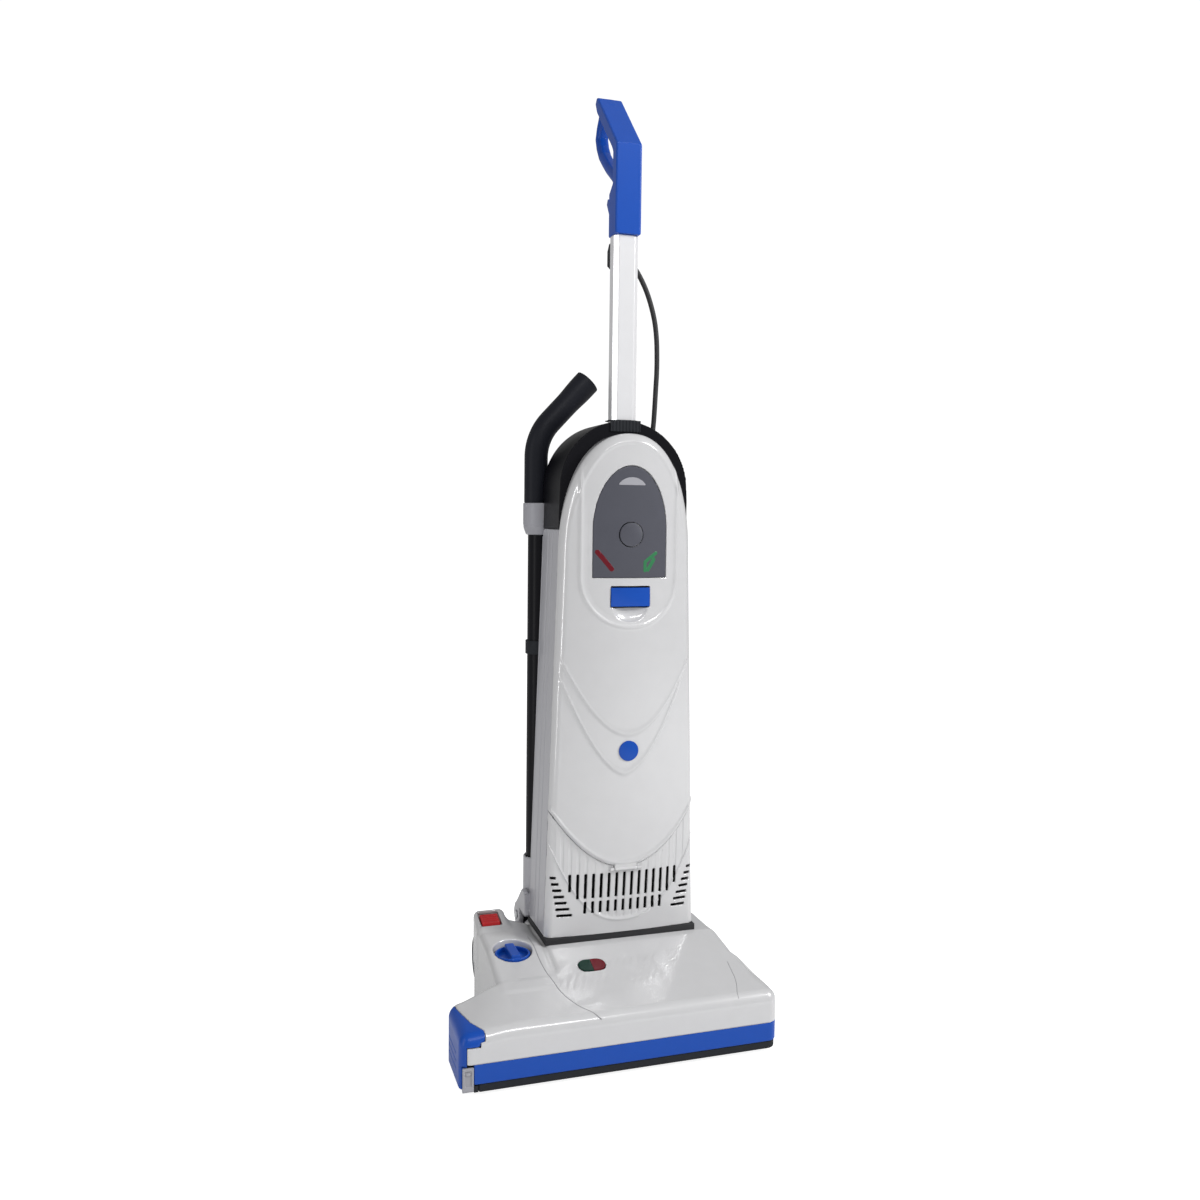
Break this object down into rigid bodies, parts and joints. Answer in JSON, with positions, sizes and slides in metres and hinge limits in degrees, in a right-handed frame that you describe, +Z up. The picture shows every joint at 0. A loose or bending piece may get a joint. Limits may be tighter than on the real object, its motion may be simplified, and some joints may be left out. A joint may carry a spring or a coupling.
{
  "type": "upright vacuum cleaner",
  "caption": "Upright vacuum cleaner with a wide brush head, reclining body, hinged bag door, metal pole with loop handle, hanging lead and stowed wand.",
  "frame": {"origin": "centre of the footprint on the floor, under the middle of the overall box", "axes": "+Z up, the front of the floor head faces -Y, +X to the viewer's right; metres"},
  "size_m": [0.396, 0.33, 1.2],
  "materials": {
    "pearl_shell": "gloss",
    "grey_shell": "satin",
    "black_shell": "satin",
    "dark_plastic": "matte",
    "panel_grey": "satin",
    "bracket_grey": "satin",
    "blue_plastic": "gloss",
    "red_plastic": "gloss",
    "green_lens": "gloss",
    "red_lens": "gloss",
    "charcoal_grip": "satin",
    "pole_metal": "polished",
    "steel": "plated",
    "rubber": "matte",
    "tyre_rubber": "matte",
    "hub_plastic": "matte",
    "filter_media": "pleated",
    "foam": "foam",
    "bag_paper": "paper",
    "card": "pressed board",
    "bristle": "fibre",
    "nylon": "matte",
    "motor_metal": "satin"
  },
  "bodies": {
    "base": {"base_frame": "dark_plastic", "sole_plate": "steel", "head_cover": "pearl_shell", "front_stripe": "blue_plastic", "bumper": "dark_plastic", "roller_bearings": "nylon", "drive_belt": "rubber", "brush_motor": "motor_metal", "pedal_pin": "steel", "pedal_spring": "steel", "rear_axle": "steel", "pivot_pins": "steel", "head_duct": "dark_plastic", "lens_green": "green_lens", "lens_red": "red_lens"},
    "side_cap": {"end_cap": "blue_plastic"},
    "cap_latch": {"end_latch": "bracket_grey"},
    "brush": {"brush_roller": "nylon", "bristle_rows": "bristle", "brush_pulley": "nylon"},
    "motor_shaft": {"motor_pulley": "nylon"},
    "foot_pedal": {"pedal": "red_plastic"},
    "knob": {"height_knob": "blue_plastic"},
    "carriage": {"roller_carriage": "dark_plastic"},
    "rollers": {"front_rollers": "rubber"},
    "wheel_left": {"hub_left": "hub_plastic", "tyre_left": "tyre_rubber"},
    "wheel_right": {"hub_right": "hub_plastic", "tyre_right": "tyre_rubber"},
    "upright": {"rear_housing": "grey_shell", "rear_dome": "black_shell", "base_gasket": "rubber", "lower_front": "pearl_shell", "exhaust_filter": "filter_media", "suction_motor": "motor_metal", "fan_housing": "motor_metal", "motor_filter": "foam", "dust_bag": "bag_paper", "bag_collar": "card", "duct_riser": "dark_plastic", "pole": "pole_metal", "pole_collar": "black_shell", "handle": "blue_plastic", "cable_inlet": "dark_plastic", "lead_cable": "rubber", "cable_clip": "dark_plastic", "hose_tube": "black_shell", "tube_clip": "dark_plastic", "hose_collar": "bracket_grey", "stretch_hose": "rubber", "housing_screws": "steel"},
    "fan": {"fan_rotor": "motor_metal"},
    "door": {"bag_door": "pearl_shell", "door_panel": "panel_grey", "front_badge": "blue_plastic"},
    "button": {"panel_button": "panel_grey"},
    "door_catch": {"door_latch": "blue_plastic"},
    "rocker": {"power_switch": "dark_plastic"},
    "hook": {"cord_hook": "blue_plastic"},
    "wand": {"wand_grip": "charcoal_grip"}
  },
  "joints": [
    {"name": "recline", "type": "hinge", "parent": "base", "child": "upright", "pos_m": [0.039, 0.1, 0.107], "axis": [-1, 0, 0], "range_deg": [0, 75]},
    {"name": "cap_slide", "type": "slide", "parent": "base", "child": "side_cap", "axis": [-1, 0, 0], "range_m": [0, 0.06]},
    {"name": "cap_latch_hinge", "type": "hinge", "parent": "base", "child": "cap_latch", "pos_m": [-0.184, -0.1622, 0.0095], "axis": [1, 0, 0], "range_deg": [0, 70]},
    {"name": "brush_spin", "type": "hinge", "parent": "base", "child": "brush", "pos_m": [-0.015, -0.122, 0.032], "axis": [1, 0, 0], "continuous": true},
    {"name": "motor_spin", "type": "hinge", "parent": "base", "child": "motor_shaft", "pos_m": [0.15, -0.037, 0.05], "axis": [1, 0, 0], "continuous": true},
    {"name": "pedal_press", "type": "hinge", "parent": "base", "child": "foot_pedal", "pos_m": [-0.119, 0.012, 0.098], "axis": [-1, 0, 0], "range_deg": [0, 8], "stiffness_Nm_per_rad": 2, "springref_deg": -8.59, "deforming": ["pedal_spring"]},
    {"name": "knob_turn", "type": "hinge", "parent": "base", "child": "knob", "pos_m": [-0.1057, -0.027, 0.1], "axis": [0, 0, -1], "range_deg": [0, 270]},
    {"name": "carriage_drop", "type": "slide", "parent": "base", "child": "carriage", "axis": [0, 0, -1], "range_m": [0, 0.006]},
    {"name": "rollers_spin", "type": "hinge", "parent": "carriage", "child": "rollers", "pos_m": [0.016, -0.066, 0.012], "axis": [1, 0, 0], "continuous": true},
    {"name": "wheel_left_spin", "type": "hinge", "parent": "base", "child": "wheel_left", "pos_m": [-0.1095, 0.13, 0.035], "axis": [1, 0, 0], "continuous": true},
    {"name": "wheel_right_spin", "type": "hinge", "parent": "base", "child": "wheel_right", "pos_m": [0.1495, 0.13, 0.035], "axis": [1, 0, 0], "continuous": true},
    {"name": "fan_spin", "type": "hinge", "parent": "upright", "child": "fan", "pos_m": [0.039, 0.026, 0.235], "axis": [0, 0, 1], "continuous": true},
    {"name": "door_hinge", "type": "hinge", "parent": "upright", "child": "door", "pos_m": [0.039, -0.0412, 0.2065], "axis": [1, 0, 0], "range_deg": [0, 75]},
    {"name": "button_press", "type": "slide", "parent": "door", "child": "button", "axis": [0, 1, 0], "range_m": [0, 0.002], "stiffness_N_per_m": 400, "springref_m": -0.002},
    {"name": "door_catch_pull", "type": "hinge", "parent": "door", "child": "door_catch", "pos_m": [0.039, -0.0405, 0.5645], "axis": [-1, 0, 0], "range_deg": [0, 15], "stiffness_Nm_per_rad": 0.5, "springref_deg": -5.73},
    {"name": "switch_rock", "type": "hinge", "parent": "upright", "child": "rocker", "pos_m": [0.039, -0.006, 1.096], "axis": [1, 0, 0], "range_deg": [-8, 8]},
    {"name": "hook_swivel", "type": "hinge", "parent": "upright", "child": "hook", "pos_m": [0.039, 0.011, 1.036], "axis": [0, 1, 0], "range_deg": [-90, 90]},
    {"name": "wand_lift", "type": "slide", "parent": "upright", "child": "wand", "axis": [0, 0, 1], "range_m": [0, 0.15], "deforming": ["stretch_hose"]}
  ],
  "couplings": [
    {"joint": "motor_spin", "follows": "brush_spin", "ratio": 1.4545},
    {"joint": "knob_turn", "follows": "carriage_drop", "rad_per_m": 785.4}
  ]
}
